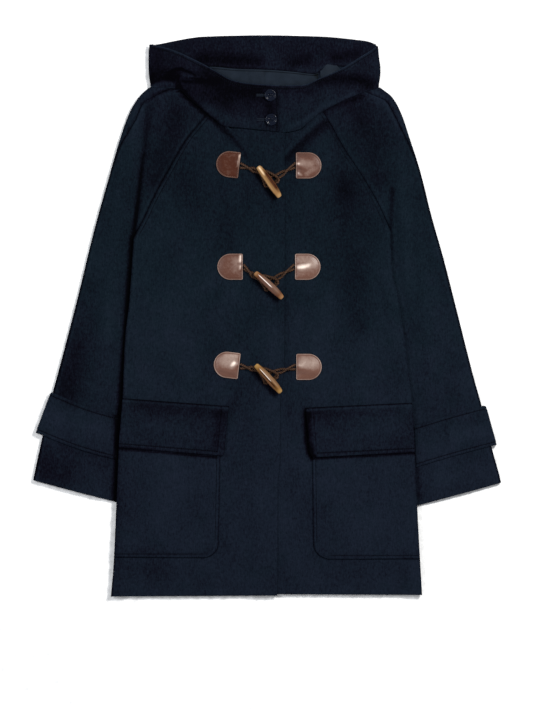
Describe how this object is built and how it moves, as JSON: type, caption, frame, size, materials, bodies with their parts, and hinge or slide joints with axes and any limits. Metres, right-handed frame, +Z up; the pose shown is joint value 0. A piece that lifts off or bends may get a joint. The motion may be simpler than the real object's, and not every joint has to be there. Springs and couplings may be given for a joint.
{
  "type": "duffle coat",
  "caption": "Hooded wool duffle coat laid flat, front closed with horn toggles in cord loops on leather patches, with raglan sleeves, banded cuffs and flapped patch pockets.",
  "frame": {"origin": "centre of the bounding box in X and Y, on the surface that the coat lies on", "axes": "+Z up out of the coat's front, +Y from the hem towards the hood, +X to the right as seen from the front"},
  "size_m": [0.7716, 0.9254, 0.0291],
  "materials": {
    "wool": "napped navy wool coating",
    "satin": "smooth blue-grey satin lining",
    "leather": "smooth reddish-brown leather",
    "horn": "polished streaked horn",
    "cord": "twisted dark brown cord",
    "button": "glossy dark navy"
  },
  "bodies": {
    "root": {"back": "wool", "button_1": "button", "button_2": "button", "cuff_band_left": "wool", "cuff_band_right": "wool", "flap_left": "wool", "flap_right": "wool", "front_left": "wool", "front_right": "wool", "hood_back": "wool", "hood_crown": "wool", "hood_left": "wool", "hood_right": "wool", "loop_cord_1": "cord", "loop_cord_2": "cord", "loop_cord_3": "cord", "neck_lining": "satin", "patch_left_1": "leather", "patch_left_2": "leather", "patch_left_3": "leather", "patch_right_1": "leather", "patch_right_2": "leather", "patch_right_3": "leather", "pocket_left": "wool", "pocket_right": "wool", "sleeve_under_left": "wool", "sleeve_under_right": "wool", "sleeve_upper_left": "wool", "sleeve_upper_right": "wool", "toggle_1": "horn", "toggle_2": "horn", "toggle_3": "horn", "toggle_cord_1": "cord", "toggle_cord_2": "cord", "toggle_cord_3": "cord"}
  },
  "joints": []
}
